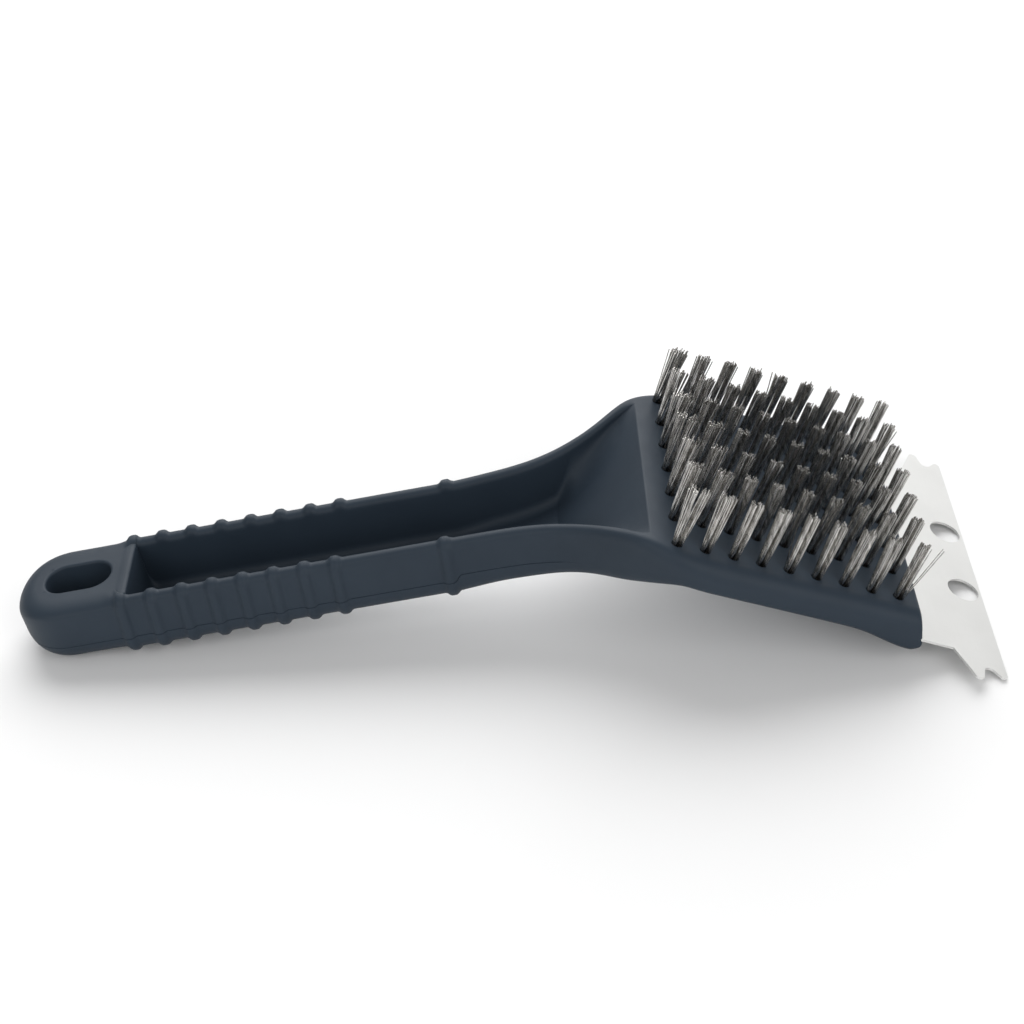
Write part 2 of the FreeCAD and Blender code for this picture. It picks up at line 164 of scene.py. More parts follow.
FLARES = (1.0, 0.5)                     # how much wider the first columns spread
FLARE_LEG, FLARE_X, FLARE_Y = 0.35, 0.55, 0.25
FLARE_JITTER_X, FLARE_JITTER_Y = 0.40, 0.25
STRAY_CHANCE_FIRST, STRAY_CHANCE, STRAY_REACH = 0.07, 0.03, 1.0
BENT_FROM, BENT_OUT, BENT_UP = 0.55, 3.2, 0.6       # the few wires bent out of the last corner tuft

# ---- how finely the meshes are divided -------------------------------------------------------------
FLOOR_POINTS, CORNER_POINTS, INNER_POINTS, LIP_POINTS, TOP_POINTS, BACK_POINTS = 11, 10, 7, 9, 4, 9
ABOVE_PARTING_POINTS, BELOW_PARTING_POINTS = 19, 14
TIP_STEP, TIP_BLEND_STEP = 1.2, 0.5
CHANNEL_LIP_RIBS, CHANNEL_WALL_RIBS, CHANNEL_ROUND_RIBS, CHANNEL_RIBS = 5, 6, 7, 172
TIP_TURN_RIBS, NECK_RIBS, HEAD_END_RIBS = 61, 92, 14
NECK_SAMPLES = 2001
NEAR_CREASE = (-0.35, 0.0, 0.35)
NEAR_RIDGE = (-0.9, -0.35, 0.0, 0.35, 0.9)
HEAD_STEP, HEAD_SLANT_STEP, HEAD_END_GAP = 3.0, 1.5, 0.5
SLOT_LIP_POINTS, SLOT_END_POINTS, TUFT_HOLE_SIDES = 6, 25, 20
MERGE, LEAST_EDGE = 0.004, 0.002
SHARP_DEGREES, WIRE_SHARP_DEGREES = 50, 45

# ---- the studio, in metres, watts and degrees ------------------------------------------------------
STAGE_REACH, STAGE_GAP, STAGE_GREY = 3.0, 0.0002, 0.90
WORLD_STRENGTH = 0.3
CAMERA_PLACE = (0.02706, -0.44983, 0.36827)
CAMERA_TURN = (53.1373, 4.7491, -1.0227)
CAMERA_SENSOR_MM, CAMERA_LENS_MM = 36.0, 69.725
LIGHTS = [      # name, place, aim, size, power
    ("back", (0.0, 0.92, 0.95), (0, 0, 0), 1.6, 20),
    ("left", (-0.7, -0.95, 0.7), (0, 0, 0), 1.0, 4.5),
    ("right", (0.7, -0.95, 0.7), (0, 0, 0), 1.2, 7),
    ("side", (0.64, 0.94, 0.45), (0.1, 0, 0), 1.2, 1.1),
]


# ---- places and pieces -----------------------------------------------------------------------------
def between(start, end, share):
    """The value a share of the way from start to end."""
    return start + share * (end - start)


def smooth(t):
    """An even step from 0 to 1 as t goes from 0 to 1, flat outside that range."""
    t = np.clip(t, 0, 1)
    return t * t * (3 - 2 * t)


def handle_point(s, n):
    """A point given along the handle and out of it, as x and z in the head's frame."""
    x = HANDLE_X + s * math.cos(HANDLE_ANGLE) - n * math.sin(HANDLE_ANGLE)
    z = HANDLE_Z + s * math.sin(HANDLE_ANGLE) + n * math.cos(HANDLE_ANGLE)
    return x, z


def resting_place():
    """The turn and shift that lay the brush down: the tip's back and the scraper's edge touch Z = 0."""
    tip = Vector(handle_point(TIP_S + TIP_BACK_ROUND, HANDLE_BACK + TIP_BACK_ROUND))
    edge = Vector((BLADE_OUTER_X, BLADE_TOP - BLADE_THICK))
    across = tip - edge
    lean = math.atan2(across.y, across.x) + math.pi + math.asin(TIP_BACK_ROUND / across.length)
    turn = Matrix.Rotation(lean, 4, "Y")
    low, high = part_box("scraper_blade")
    far = turn @ Vector((BLADE_OUTER_X, 0, BLADE_TOP)) / 1000
    near = turn @ Vector((BLADE_OUTER_X, 0, BLADE_TOP - BLADE_THICK)) / 1000
    shift = Matrix.Translation((high.x - far.x, 0, low.z - near.z))
    return shift @ turn @ Matrix.Scale(0.001, 4)


TO_ROW = resting_place()


def add_object(name, data):
    """A new object with this data, in the scene."""
    obj = bpy.data.objects.new(name, data)
    bpy.context.scene.collection.objects.link(obj)
    return obj


def raw_mesh(name, vertices, faces):
    """A mesh from vertices and faces."""
    mesh = bpy.data.meshes.new(name)
    mesh.from_pydata(vertices, [], faces)
    return mesh


def finish_mesh(mesh, finish, sharp_degrees):
    """Turns a mesh into the part's frame and gives it its material and its smooth shading."""
    mesh.transform(TO_ROW)
    mesh.materials.clear()
    mesh.materials.append(finish)
    mesh.shade_smooth()
    mesh.set_sharp_from_angle(angle=math.radians(sharp_degrees))


# ---- materials -------------------------------------------------------------------------------------
def material(name, **values):
    """A principled material with plain values on the shader's own sockets, and its node tree."""
    made = bpy.data.materials.new(name)
    made.use_nodes = True
    shader = made.node_tree.nodes["Principled BSDF"]
    for key, value in values.items():
        shader.inputs[key.replace("_", " ")].default_value = value
    return made, made.node_tree, shader


def noise(tree, scale, detail, stretch=(1, 1, 1)):
    """A noise texture in the object's own coordinates, in units of 1/metre."""
    place = tree.nodes.new("ShaderNodeTexCoord")
    mapping = tree.nodes.new("ShaderNodeMapping")
    mapping.inputs["Scale"].default_value = stretch
    texture = tree.nodes.new("ShaderNodeTexNoise")
    texture.inputs["Scale"].default_value = scale
    texture.inputs["Detail"].default_value = detail
    tree.links.new(place.outputs["Object"], mapping.inputs["Vector"])
    tree.links.new(mapping.outputs["Vector"], texture.inputs["Vector"])
    return texture


def tint(tree, texture, socket, dark, light):
    """Lays the middle of a texture's range between two colours and links it to a socket."""
    ramp = tree.nodes.new("ShaderNodeValToRGB")
    ends = ramp.color_ramp.elements
    for end, colour, position in zip(ends, (dark, light), (0.3, 0.7)):
        end.color = (*colour, 1)
        end.position = position
    tree.links.new(texture.outputs["Fac"], ramp.inputs["Fac"])
    tree.links.new(ramp.outputs["Color"], socket)


def spread(tree, texture, socket, low, high):
    """Lays a texture's value over a range and links it to a socket."""
    lay = tree.nodes.new("ShaderNodeMapRange")
    lay.inputs["To Min"].default_value = low
    lay.inputs["To Max"].default_value = high
    tree.links.new(texture.outputs["Fac"], lay.inputs["Value"])
    tree.links.new(lay.outputs["Result"], socket)


def bump(tree, shader, layers):
    """Fine relief: each layer is a texture, how strong it is and its depth in metres."""
    last = None
    for texture, strength, distance in layers:
        node = tree.nodes.new("ShaderNodeBump")
        node.inputs["Strength"].default_value = strength
        node.inputs["Distance"].default_value = distance
        tree.links.new(texture.outputs["Fac"], node.inputs["Height"])
        if last is not None:
            tree.links.new(last.outputs["Normal"], node.inputs["Normal"])
        last = node
    tree.links.new(last.outputs["Normal"], shader.inputs["Normal"])


def plastic_material():
    """Fine matte moulded plastic, dark slate grey."""
    made, tree, shader = material("handle_plastic", Roughness=0.5, IOR=1.46, Specular_IOR_Level=0.26)
    tone = noise(tree, scale=45.0, detail=3.0)
    dark, light = (0.0215, 0.0325, 0.0470), (0.0250, 0.0375, 0.0535)
    tint(tree, tone, shader.inputs["Base Color"], dark, light)
    polish = noise(tree, scale=160.0, detail=4.0)
    spread(tree, polish, shader.inputs["Roughness"], low=0.46, high=0.58)
    grain = noise(tree, scale=5200.0, detail=2.0)
    flow = noise(tree, scale=260.0, detail=2.0)
    bump(tree, shader, [(grain, 0.22, 0.00004), (flow, 0.12, 0.00012)])
    return made


def blade_material():
    """Plain rolled stainless sheet with a satin face: fine lines along the sheet."""
    made, tree, shader = material("blade_steel", Metallic=1.0, Roughness=0.45)
    tone = noise(tree, scale=60.0, detail=3.0)
    dark, light = (0.78, 0.78, 0.765), (0.82, 0.82, 0.805)
    tint(tree, tone, shader.inputs["Base Color"], dark, light)
    lines = noise(tree, scale=900.0, detail=3.0, stretch=(1.0, 0.03, 1.0))
    spread(tree, lines, shader.inputs["Roughness"], low=0.42, high=0.52)
    bump(tree, shader, [(lines, 0.10, 0.00002)])
    return made


def wire_material():
    """Bright drawn stainless wire: each wire a little warmer or duller than the next."""
    made, tree, shader = material("wire_steel", Metallic=1.0, Roughness=0.2)
    tone = noise(tree, scale=1400.0, detail=1.0, stretch=(1, 1, 0.15))
    dark, light = (0.42, 0.41, 0.39), (0.84, 0.825, 0.80)
    tint(tree, tone, shader.inputs["Base Color"], dark, light)
    polish = noise(tree, scale=2200.0, detail=1.0)
    spread(tree, polish, shader.inputs["Roughness"], low=0.15, high=0.30)
    return made


PLASTIC, BLADE, WIRE = plastic_material(), blade_material(), wire_material()


# ---- the moulding's sections -----------------------------------------------------------------------
def through(knots, values, places):
    """A natural cubic spline through the rows of values at the knots, read at the places."""
    n = len(knots)
    step = np.diff(knots)
    slope = np.diff(values, axis=0) / step[:, None]
    system = np.eye(n)
    right = np.zeros_like(values)
    for i in range(1, n - 1):
        system[i, i - 1:i + 2] = step[i - 1], 2 * (step[i - 1] + step[i]), step[i]
        right[i] = 6 * (slope[i] - slope[i - 1])
    bend = np.linalg.solve(system, right)
    k = np.clip(np.searchsorted(knots, places, side="right") - 1, 0, n - 2)
    h = step[k][:, None]
    a = ((knots[k + 1] - places) / step[k])[:, None]
    b = 1 - a
    straight = a * values[k] + b * values[k + 1]
    return straight + ((a**3 - a) * bend[k] + (b**3 - b) * bend[k + 1]) * h * h / 6


class Rib:
    """Half of a cross section, from the middle of its top to the middle of its back.

    top and back are points (x, z), half is the section's half width, and wall is from the channel's
    side to the outside. rim is the top edge's round and rim_deep its depth, if that is another.
    hollow is how deep the channel is here, 0 where the section is solid, and corner is how wide and
    how deep its bottom corner is. s is the station that beads and the parting line are placed by."""

    def __init__(self, top, back, half, wall, rim, back_round, s, hollow=0.0,
                 corner=(FLOOR_ROUND, FLOOR_ROUND), rim_deep=None):
        self.top = np.array(top, float)
        down = np.array(back, float) - self.top
        self.depth = float(np.hypot(*down))
        self.down = down / self.depth
        self.half, self.wall, self.rim, self.back_round = half, wall, rim, back_round
        self.hollow, self.corner, self.s = hollow, corner, s
        self.rim_deep = rim if rim_deep is None else rim_deep

    def profile(self):
        """Rows of y, depth, the outward direction's y and depth, and the share of a bead carried."""
        inner = self.half - self.wall
        inner_rim = min(self.rim, self.wall - self.rim)
        wide = inner + inner_rim                # where the channel's rounded edge meets the flat top
        edge = self.half - self.rim             # where the flat top meets the outer rim's round
        lip = min(inner_rim, self.hollow / 2)
        corner_wide = min(self.corner[0], inner / 2)
        corner_deep = min(self.corner[1], self.hollow - lip)
        corner_top = self.hollow - corner_deep
        rims = float(smooth((self.s - TIP_BLEND_S) / BEAD_RIM_LENGTH))      # 0 on the tip, 1 past it
        faint = BEAD_ON_TOP if self.hollow < LEAST_HOLLOW else 0.0
        rows = []
        for t in np.linspace(0, 1, FLOOR_POINTS)[:-1]:
            rows.append((t * (inner - corner_wide), self.hollow, 0, -1, faint))
        for t in np.linspace(0, QUARTER, CORNER_POINTS):
            y = inner - corner_wide + corner_wide * math.sin(t)
            rows.append((y, corner_top + corner_deep * math.cos(t), 0, -1, faint))
        for t in np.linspace(0, 1, INNER_POINTS)[1:]:
            rows.append((inner, corner_top + t * (lip - self.hollow + corner_deep), 0, -1, faint))
        for t in np.linspace(0, QUARTER, LIP_POINTS)[1:]:
            y = wide - inner_rim * math.cos(t)
            share = faint + (1 - faint) * rims * math.sin(t) ** 2
            rows.append((y, lip - lip * math.sin(t), -math.cos(t), -math.sin(t), share))
        for t in np.linspace(0, 1, TOP_POINTS)[1:]:
            share = faint + (1 - faint) * max(rims, t)
            rows.append((wide + t * (edge - wide), 0, 0, -1, share))
        for row in self.outside():
            rows.append((*row, 1))
        for t in np.linspace(1, 0, BACK_POINTS)[1:]:
            rows.append((t * (self.half - self.back_round), self.depth, 0, 1, 1))
        return np.array(rows)

    def outside(self):
        """Points from the rim's top round the side to the back, close together at the parting line."""
        low = self.depth - self.back_round
        arc_top = self.rim * math.pi / 2
        straight = max(self.depth - self.back_round - self.rim, 0.0)
        arc_back = self.back_round * math.pi / 2
        parting = self.parting_depth()
        if parting < low:
            mark = arc_top + (parting - self.rim_deep) / (low - self.rim_deep) * straight
        else:
            mark = arc_top + straight + self.back_round * math.asin((parting - low) / self.back_round)
        places = np.concatenate([
            np.linspace(0, mark - PARTING_REACH, ABOVE_PARTING_POINTS)[1:],
            mark + PARTING_REACH * np.array([-0.5, 0.0, 0.5]),
            np.linspace(mark + PARTING_REACH, arc_top + straight + arc_back, BELOW_PARTING_POINTS),
        ])
        rows = []
        for place in places:
            if place < arc_top:
                t = place / self.rim
                y = self.half - self.rim + self.rim * math.sin(t)
                d = self.rim_deep * (1 - math.cos(t))
                out_y, out_d = math.sin(t), -math.cos(t)
            elif place < arc_top + straight:
                run = (place - arc_top) / straight
                y, d = self.half, between(self.rim_deep, low, run)
                out_y, out_d = 1.0, 0.0
            else:
                t = (place - arc_top - straight) / self.back_round
                y = self.half - self.back_round + self.back_round * math.cos(t)
                d = low + self.back_round * math.sin(t)
                out_y, out_d = math.cos(t), math.sin(t)
            groove = PARTING_GROOVE * self.parting_share() if abs(place - mark) < SAME_PLACE else 0.0
            rows.append((y - groove * out_y, d - groove * out_d, out_y, out_d))
        return rows

    def parting_depth(self):
        """How deep below the top the parting line runs at this station."""
        share = float(smooth((self.s - PARTING_STEP_S) / PARTING_STEP_LENGTH))
        return min(between(PARTING_DEPTH, PARTING_DEPTH_NECK, share), self.depth - PARTING_BACK_GAP)

    def parting_share(self):
        """How much of the parting line's groove is left at this station."""
        return 1 - float(smooth((self.s - PARTING_FADE_S) / PARTING_FADE_LENGTH))

    def bead(self, depth):
        """How far a bead stands out at this station and depth."""
        centres = [BEAD_FIRST_S + k * BEAD_PITCH for k in range(BEAD_COUNT)] + [BEAD_LAST_S]
        away = np.min(np.abs(self.s + depth[:, None] * BEAD_LEAN - np.array(centres)), axis=1)
        return BEAD_HEIGHT * np.exp(-(away / BEAD_REACH) ** BEAD_SHARPNESS)

    def side_points(self, side):
        """The rib's points in the head's frame, on the side +1 or -1, with its beads."""
        y, d, out_y, out_d, share = self.profile().T
        out = share * self.bead(d)
        y = y + out_y * out
        d = d + out_d * out
        x = self.top[0] + self.down[0] * d
        z = self.top[1] + self.down[1] * d
        return np.stack([x, side * y, z], axis=1)

    def turned_points(self, turn):
        """The rib's points in the head's frame, turned round the tip's middle, where no bead is."""
        y, d = self.profile().T[:2]
        reach = -y * math.sin(turn)
        x = self.top[0] + self.down[0] * d + math.cos(HANDLE_ANGLE) * reach
        z = self.top[1] + self.down[1] * d + math.sin(HANDLE_ANGLE) * reach
        return np.stack([x, y * math.cos(turn), z], axis=1)


def handle_rib(s, hollow=0.0, tip_share=0.0, end_share=0.0):
    """A section of the handle: tip_share is how much of the tip's rounds it has, end_share of the end's."""
    tip_top = between(TIP_TOP_ROUND, TIP_END_TOP_ROUND, end_share)
    tip_deep = between(TIP_TOP_DEEP, TIP_END_TOP_ROUND, end_share)
    tip_back = between(TIP_BACK_ROUND, TIP_END_BACK_ROUND, end_share)
    rim = between(RIM_ROUND, tip_top, tip_share)
    rim_deep = between(RIM_ROUND, tip_deep, tip_share)
    back_round = between(BACK_ROUND, tip_back, tip_share)
    wall = WALL + 2 * (rim - RIM_ROUND)
    return Rib(handle_point(s, HANDLE_TOP), handle_point(s, HANDLE_BACK), HANDLE_HALF, wall, rim,
               back_round, s, hollow, rim_deep=rim_deep)


def handle_ribs():
    """From the tip's middle to the neck."""
    end = CHANNEL_END_S
    deepest = HANDLE_TOP - HANDLE_BACK - FLOOR
    ribs = []
    tip_stations = np.arange(TIP_CENTRE_S, TIP_BLEND_S, TIP_STEP)
    blend_stations = np.arange(TIP_BLEND_S, TIP_LAST_S, TIP_BLEND_STEP)
    for s in np.concatenate([tip_stations, blend_stations]):
        ribs.append(handle_rib(s, tip_share=1 - float(smooth((s - TIP_BLEND_S) / TIP_BLEND_LENGTH))))
    for t in np.linspace(0, QUARTER, CHANNEL_LIP_RIBS):
        ribs.append(handle_rib(end - CHANNEL_LIP * (1 - math.sin(t)), CHANNEL_LIP * (1 - math.cos(t))))
    for t in np.linspace(0, 1, CHANNEL_WALL_RIBS)[1:]:
        deep = CHANNEL_LIP + t * (deepest - FLOOR_ROUND - CHANNEL_LIP)
        ribs.append(handle_rib(end + CHANNEL_END_SLANT * t, deep))
    for t in np.linspace(0, QUARTER, CHANNEL_ROUND_RIBS)[1:]:
        deep = deepest - FLOOR_ROUND * (1 - math.sin(t))
        ribs.append(handle_rib(end + CHANNEL_END_SLANT + FLOOR_ROUND * (1 - math.cos(t)), deep))
    for s in np.linspace(end + FLOOR_ROUND, 0, CHANNEL_RIBS)[1:-1]:
        ribs.append(handle_rib(s, deepest))
    return ribs


def neck_rows():
    """The neck's cross planes between the handle's last ones and the head's first ones."""
    rows = []
    for s in BEFORE_NECK_S:
        lines = (*handle_point(s, HANDLE_TOP), *handle_point(s, HANDLE_BACK))
        rows.append((*lines, HANDLE_HALF, WALL, RIM_ROUND, BACK_ROUND))
    rows += NECK
    for x in AFTER_NECK_X:
        rows.append((x, 0.0, x, -HEAD_THICK, HEAD_HALF, HEAD_WALL, HEAD_TOP_ROUND, HEAD_BACK_ROUND))
    return np.array(rows)


def cross(a, b):
    """The cross product of vectors in the middle plane, given as (x, z)."""
    return a[..., 0] * b[..., 1] - a[..., 1] * b[..., 0]


def neck_ribs():
    """From the end of the handle to the start of the head, with the ramp up to the ridge."""
    rows = neck_rows()
    middle = (rows[:, 0:2] + rows[:, 2:4]) / 2
    knots = np.concatenate([[0], np.cumsum(np.hypot(*np.diff(middle, axis=0).T))])
    start, end = knots[len(BEFORE_NECK_S) - 1], knots[-len(AFTER_NECK_X) - 1]
    fine = np.linspace(start, end, NECK_SAMPLES)
    dense = through(knots, rows, fine)
    foot, ridge = np.array(RAMP_FOOT), np.array(RIDGE)
    slope = (ridge - foot) / np.hypot(*(ridge - foot))

    # How deep the ramp lies in each cross plane, and where it leaves the floor and reaches the top.
    down = dense[:, 2:4] - dense[:, 0:2]
    depth = np.hypot(*down.T)
    down = down / depth[:, None]
    ramp = -cross(dense[:, 0:2] - ridge, slope) / cross(down, slope)
    floor = depth - FLOOR
    hollow = np.clip(np.minimum(floor, ramp), 0, None)
    crease = fine[np.argmax(ramp < floor)]
    top_edge = fine[np.argmax(ramp <= 0)]

    places = np.sort(np.concatenate([
        np.linspace(start, end, NECK_RIBS),
        crease + np.array(NEAR_CREASE),
        top_edge + np.array(NEAR_RIDGE),
    ]))
    ribs = []
    for place in places:
        i = int(np.argmin(np.abs(fine - place)))
        top, back, (half, wall, rim, back_round) = dense[i, 0:2], dense[i, 2:4], dense[i, 4:8]
        open_share = float(smooth((1 - hollow[i] / floor[i]) / FUNNEL_RISE))
        corner_wide = between(FLOOR_ROUND, FUNNEL_WIDE, open_share)
        corner = (corner_wide, between(FLOOR_ROUND, FUNNEL_DEEP, open_share))
        ribs.append(Rib(top, back, half, wall, rim, back_round, fine[i] - start, float(hollow[i]), corner))
    return ribs


def head_ribs():
    """From the end of the neck to the thickened end, with its rounded edges."""
    line = np.array(HEAD_BACK_LINE)
    drop = HEAD_THICK + HEAD_LIP_DROP
    slant = math.hypot(HEAD_LIP_OUT, drop)
    out = np.array([drop, HEAD_LIP_OUT]) / slant        # straight out of the end face
    down = np.array([HEAD_LIP_OUT, -drop]) / slant      # down the end face
    lean = down[0]                                      # the sine of the end face's slant
    inner_x = HEAD_END_X - HEAD_END_BACK_ROUND * (1 + lean) / out[0]
    ribs = []

    def back_at(x):
        return float(through(line[:, 0], line[:, 1:], np.array([x]))[0, 0])

    def rolled(radius, depth):
        """How far a rolled edge has come round at a depth behind the end face."""
        return math.sqrt(max(radius**2 - max(radius - depth, 0.0) ** 2, 0.0))

    # Upright ribs first, which lean over bit by bit.
    upright = np.arange(HEAD_START_X + HEAD_STEP, HEAD_SLANT_X, HEAD_STEP)
    leaning = np.arange(HEAD_SLANT_X, inner_x - HEAD_END_GAP, HEAD_SLANT_STEP)
    for x in np.concatenate([upright, leaning]):
        back_x = x + HEAD_LIP_OUT * float(smooth((x - HEAD_SLANT_X) / (inner_x - HEAD_SLANT_X)))
        ribs.append(Rib((x, 0.0), (back_x, back_at(back_x)), HEAD_HALF, HEAD_WALL, HEAD_TOP_ROUND,
                        HEAD_BACK_ROUND, PAST_THE_MARKS_S))

    # At the end each rib lies parallel to the end face, a little further out, on the rolled edges.
    top_x = HEAD_END_X + (HEAD_END_TOP_ROUND * lean - HEAD_END_TOP_ROUND) / out[0]
    top_centre = np.array([top_x, -HEAD_END_TOP_ROUND])
    back_z = back_at(HEAD_END_X) + HEAD_END_BACK_ROUND
    centre_x = HEAD_END_X - back_z * lean / out[0] - HEAD_END_BACK_ROUND / out[0]
    back_centre = np.array([centre_x, back_z])
    for t in np.linspace(0, QUARTER, HEAD_END_RIBS):
        depth = HEAD_END_BACK_ROUND * (1 + lean) * (1 - math.sin(t))
        top = np.array([HEAD_END_X - depth / out[0], 0.0])
        if depth < HEAD_END_TOP_ROUND * (1 - lean):
            top = top_centre + (HEAD_END_TOP_ROUND - depth) * out - rolled(HEAD_END_TOP_ROUND, depth) * down
        inside = HEAD_END_BACK_ROUND - depth
        reach = math.sqrt(max(HEAD_END_BACK_ROUND**2 - inside**2, 0.0))
        back = back_centre + inside * out + reach * down
        inset = HEAD_END_SIDE_ROUND - rolled(HEAD_END_SIDE_ROUND, depth)
        back_inset = HEAD_END_BACK_ROUND - rolled(HEAD_END_BACK_ROUND, depth)
        back_round = max(HEAD_BACK_ROUND - back_inset, HEAD_LEAST_ROUND)
        ribs.append(Rib(top, back, HEAD_HALF - inset, HEAD_WALL - inset, HEAD_TOP_ROUND - inset,
                        back_round, PAST_THE_MARKS_S))
    return ribs


# ---- the moulding ----------------------------------------------------------------------------------
def moulding_strip():
    """Every rib's points in turn: down one side, round the tip and back up the other side."""
    stations = handle_ribs() + neck_ribs() + head_ribs()
    strip = [rib.side_points(1.0) for rib in reversed(stations)]
    for turn in np.linspace(0, math.pi, TIP_TURN_RIBS)[1:-1]:
        rib = handle_rib(TIP_CENTRE_S, tip_share=1.0, end_share=math.sin(turn) ** TIP_END_SHARPNESS)
        strip.append(rib.turned_points(turn))
    strip += [rib.side_points(-1.0) for rib in stations]
    return strip


def moulding_mesh():
    """One closed skin over the ribs."""
    strip = moulding_strip()
    count = len(strip[0])
    faces = []
    for i in range(len(strip) - 1):
        for j in range(count - 1):
            a = i * count + j
            faces.append((a, a + 1, a + count + 1, a + count))
    mesh = raw_mesh("skin", np.concatenate(strip).tolist(), faces)
    made = bmesh.new()
    made.from_mesh(mesh)
    bmesh.ops.remove_doubles(made, verts=made.verts, dist=MERGE)
    bmesh.ops.dissolve_degenerate(made, dist=LEAST_EDGE, edges=made.edges)
    open_edges = [e for e in made.edges if e.is_boundary]
    bmesh.ops.holes_fill(made, edges=open_edges, sides=0)
    bmesh.ops.recalc_face_normals(made, faces=made.faces)
    made.to_mesh(mesh)
    made.free()
    return mesh


def stack(rings):
    """A closed solid from rings of equal length, as vertices and faces."""
    count = len(rings[0])
    vertices = [tuple(p) for ring in rings for p in ring]
    faces = [tuple(range(count))[::-1]]
    for k in range(len(rings) - 1):
        for j in range(count):
            a, b = k * count + j, k * count + (j + 1) % count
            faces.append((a, b, b + count, a + count))
    faces.append(tuple(range((len(rings) - 1) * count, len(rings) * count)))
    return vertices, faces


def joined(solids):
    """Several solids' vertices and faces as one list of each."""
    vertices, faces = [], []
    for some, sides in solids:
        faces += [tuple(i + len(vertices) for i in face) for face in sides]
        vertices += some
    return vertices, faces


def slot_cutter():
    """The hang slot's void, with a soft edge at both faces."""
    straight = SLOT_HALF_LENGTH - SLOT_HALF_WIDTH
    lip = [(SLOT_LIP * (1 - math.cos(t)), SLOT_LIP * (1 - math.sin(t)))
           for t in np.linspace(0, QUARTER, SLOT_LIP_POINTS)]
    levels = [(HANDLE_TOP + SLOT_OVERCUT, SLOT_LIP)]
    levels += [(HANDLE_TOP - deep, grow) for deep, grow in lip]
    levels += [(HANDLE_BACK + deep, grow) for deep, grow in reversed(lip)]
    levels += [(HANDLE_BACK - SLOT_OVERCUT, SLOT_LIP)]
    rings = []
    for n, grow in levels:
        ring = []
        for centre, start in ((straight, -90), (-straight, 90)):
            for angle in np.radians(np.linspace(start, start + 180, SLOT_END_POINTS)):
                s = SLOT_S + centre + (SLOT_HALF_WIDTH + grow) * math.cos(angle)
                x, z = handle_point(s, n)
                ring.append((x, (SLOT_HALF_WIDTH + grow) * math.sin(angle), z))
        rings.append(ring)
    return stack(rings)


def tuft_places():
    """Each tuft's column and row, with its place x, y on the bristle face."""
    for column in range(TUFT_COLUMNS):
        for row in range(TUFT_ROWS):
            x = (column - (TUFT_COLUMNS - 1) / 2) * TUFT_PITCH_X
            y = (row - (TUFT_ROWS - 1) / 2) * TUFT_PITCH_Y
            yield column, row, x, y


def circle(x, y, z, radius, sides):
    """Points round an upright hole."""
    around = np.linspace(0, 2 * math.pi, sides + 1)[:-1]
    return [(x + radius * math.cos(t), y + radius * math.sin(t), z) for t in around]


def holes_cutter():
    """The voids of all the tuft holes."""
    holes = []
    for _, _, x, y in tuft_places():
        ends = (-TUFT_HOLE_DEPTH, TUFT_HOLE_OVERCUT)
        holes.append(stack([circle(x, y, z, TUFT_HOLE_RADIUS, TUFT_HOLE_SIDES) for z in ends]))
    return joined(holes)


def cut(body, vertices, faces):
    """Takes a solid out of the moulding."""
    mesh = raw_mesh("cutter", vertices, faces)
    made = bmesh.new()
    made.from_mesh(mesh)
    bmesh.ops.recalc_face_normals(made, faces=made.faces)
    made.to_mesh(mesh)
    made.free()
    tool = add_object("cutter", mesh)
    modifier = body.modifiers.new("cut", "BOOLEAN")
    modifier.operation = "DIFFERENCE"
    modifier.solver = "EXACT"
    modifier.object = tool
    result = bpy.data.meshes.new_from_object(body.evaluated_get(bpy.context.evaluated_depsgraph_get()))
    body.modifiers.clear()
    body.data = result
    bpy.data.objects.remove(tool)
    bpy.data.meshes.remove(mesh)


def moulding():
    """The handle, neck and head in one piece, with the slot and the tuft holes cut out."""
    body = add_object("moulding", moulding_mesh())
    for vertices, faces in (slot_cutter(), holes_cutter()):
        cut(body, vertices, faces)
    body.data.name = "moulding"
    finish_mesh(body.data, PLASTIC, SHARP_DEGREES)
    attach(body, "root")
    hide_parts("handle_body")


# ---- the wires -------------------------------------------------------------------------------------
def leg_spots(count):
    """Places spread evenly over a disc of radius 1."""
    k = np.arange(count) + 0.5
    radius = np.sqrt(k / count)
    angle = k * math.pi * (3 - math.sqrt(5))
    return radius * np.cos(angle), radius * np.sin(angle)


def wire_solid(path, radius):
    """A round wire along a path, with closed ends."""
    rings = []
    turns = np.linspace(0, 2 * math.pi, WIRE_SIDES + 1)[:-1]
    for k, point in enumerate(path):
        along = path[min(k + 1, len(path) - 1)] - path[max(k - 1, 0)]
        along = along / np.linalg.norm(along)
        across = np.cross(along, (0.0, 1.0, 0.0))
        across = across / np.linalg.norm(across)
        other = np.cross(along, across)
        rings.append([point + radius * (math.cos(t) * across + math.sin(t) * other) for t in turns])
    return stack(rings)


